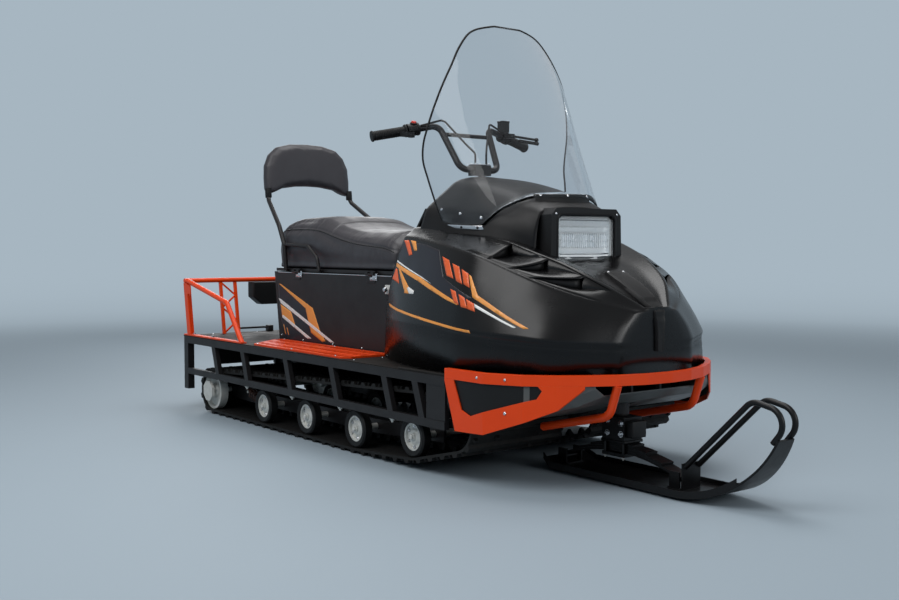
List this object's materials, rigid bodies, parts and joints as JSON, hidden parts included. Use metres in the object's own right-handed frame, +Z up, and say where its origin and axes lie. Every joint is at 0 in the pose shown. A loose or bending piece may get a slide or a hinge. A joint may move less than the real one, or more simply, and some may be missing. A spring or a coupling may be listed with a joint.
{
  "type": "snowmobile",
  "caption": "Utility snowmobile with one front ski, twin rubber tracks, truss sides, rear cargo rack, box seat with backrest, hinged hood and tall windshield.",
  "frame": {"origin": "on the ground under the middle of the overall length and width", "axes": "+X forward, +Y to the rider's left, +Z up"},
  "size_m": [2.6899, 0.9, 1.4041],
  "materials": {
    "orange_paint": "powder coat, satin gloss",
    "black_steel": "black powder coat, semi matt",
    "zinc_steel": "bare wheel discs and nuts",
    "track_rubber": "matt moulded rubber",
    "wheel_rubber": "smooth rubber",
    "hood_plastic": "gloss black",
    "black_plastic": "grained black",
    "clear_shield": "clear sheet, faint grey",
    "lamp_glass": "fluted clear glass",
    "tail_lens": "dark box with red lens",
    "vinyl": "matt dark grey seat vinyl",
    "cast_alloy": "cast"
  },
  "bodies": {
    "chassis": {"belly_tray": "black_steel", "bumper_band": "orange_paint", "bumper_side_plates": "orange_paint", "carrier_rails": "black_steel", "column_bearing": "black_steel", "cross_members": "black_steel", "dash_panel": "black_plastic", "deck_sheet": "black_steel", "drive_axle": "black_steel", "engine_block": "cast_alloy", "keel_beam": "black_steel", "rack_frame": "orange_paint", "rack_rails": "orange_paint", "rear_idler_wheels": "zinc_steel", "road_wheel_hubs": "zinc_steel", "road_wheel_tyres": "wheel_rubber", "seat_box": "black_steel", "skid_tubes": "orange_paint", "step_grates": "orange_paint", "suspension_links": "black_steel", "tail_lamp": "tail_lens", "tow_hitch": "black_steel", "track_left": "track_rubber", "track_right": "track_rubber", "truss_posts": "black_steel", "truss_rails": "black_steel"},
    "hood": {"hood_shell": "hood_plastic", "upper_cowl": "hood_plastic", "windshield": "clear_shield", "windshield_edge_bead": "wheel_rubber", "headlight_housing": "black_plastic", "headlight_lens": "lamp_glass"},
    "seat": {"seat_board": "black_steel", "seat_cushion": "vinyl", "backrest_tubes": "black_steel", "backrest_pad": "vinyl"},
    "handlebar": {"handlebar": "black_steel", "steering_column": "black_steel", "grips": "track_rubber", "control_housings": "black_plastic", "control_cables": "track_rubber"},
    "ski": {"ski": "black_steel", "ski_loop_rods": "black_steel", "spring_leaves": "black_steel", "ski_spindle": "black_steel"}
  },
  "joints": [
    {"name": "hood_hinge", "type": "hinge", "parent": "chassis", "child": "hood", "pos_m": [0.873, 0, 0.338], "axis": [0, 1, 0], "range_deg": [0, 55]},
    {"name": "seat_hinge", "type": "hinge", "parent": "chassis", "child": "seat", "pos_m": [-0.486, -0.241, 0.586], "axis": [1, 0, 0], "range_deg": [0, 55]},
    {"name": "handlebar_turn", "type": "hinge", "parent": "chassis", "child": "handlebar", "pos_m": [0.095, 0, 0.945], "axis": [-0.4226, 0, 0.9063], "range_deg": [-30, 30]},
    {"name": "ski_turn", "type": "hinge", "parent": "chassis", "child": "ski", "pos_m": [0.755, 0, 0.25], "axis": [0, 0, 1], "range_deg": [-30, 30]}
  ],
  "couplings": [
    {"joint": "handlebar_turn", "follows": "ski_turn", "ratio": 1}
  ]
}
